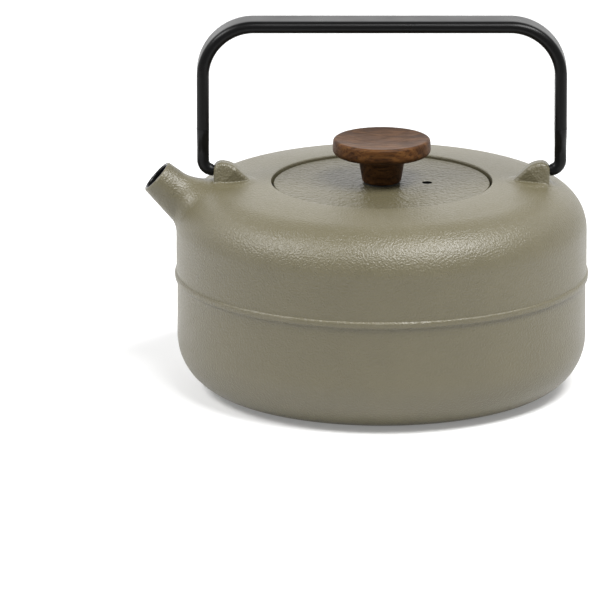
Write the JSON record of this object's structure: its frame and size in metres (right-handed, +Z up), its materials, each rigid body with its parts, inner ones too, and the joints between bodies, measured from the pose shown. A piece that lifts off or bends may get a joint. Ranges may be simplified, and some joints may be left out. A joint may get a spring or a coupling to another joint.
{
  "type": "cast iron teapot",
  "caption": "Squat cast iron teapot with a short conical spout, flush lid with a turned wood knob, folding flat-oval bail and a hanging steel infuser.",
  "frame": {"origin": "centre of the flat underside, on the pot's round axis", "axes": "+Z up along the pot's round axis; the spout points along -X; +Y is the far side when the spout is on the left"},
  "size_m": [0.1947, 0.1814, 0.1651],
  "materials": {
    "pot_coating": "matte olive-grey coat over sand-cast iron, black enamel inside",
    "lid_coating": "the same olive-grey coat over a brushed face",
    "bail_black": "satin black powder coat on steel tube",
    "hook_black": "satin black powder coat on steel rod",
    "infuser_steel": "brushed stainless steel",
    "infuser_mesh": "perforated stainless steel",
    "knob_wood": "oiled walnut",
    "gasket_rubber": "matte black",
    "insert_brass": "turned",
    "fastener_steel": "plain"
  },
  "bodies": {
    "pot": {"pot_body": "pot_coating"},
    "bail": {"bail_bar": "bail_black", "bail_hook_left": "hook_black", "bail_hook_right": "hook_black"},
    "infuser": {"infuser_rim": "infuser_steel", "infuser_wall": "infuser_mesh", "infuser_base": "infuser_steel"},
    "lid": {"lid_plate": "lid_coating", "knob_gasket": "gasket_rubber", "lid_knob": "knob_wood", "knob_insert": "insert_brass", "knob_washer": "fastener_steel", "knob_screw": "fastener_steel"}
  },
  "joints": [
    {"name": "bail_swing", "type": "hinge", "parent": "pot", "child": "bail", "pos_m": [0, 0, 0.0969], "axis": [1, 0, 0], "range_deg": [-87.7, 87.7]},
    {"name": "infuser_lift", "type": "slide", "parent": "pot", "child": "infuser", "axis": [0, 0, 1], "range_m": [0, 0.045]},
    {"name": "lid_lift", "type": "slide", "parent": "infuser", "child": "lid", "axis": [0, 0, 1], "range_m": [0, 0.045]}
  ]
}
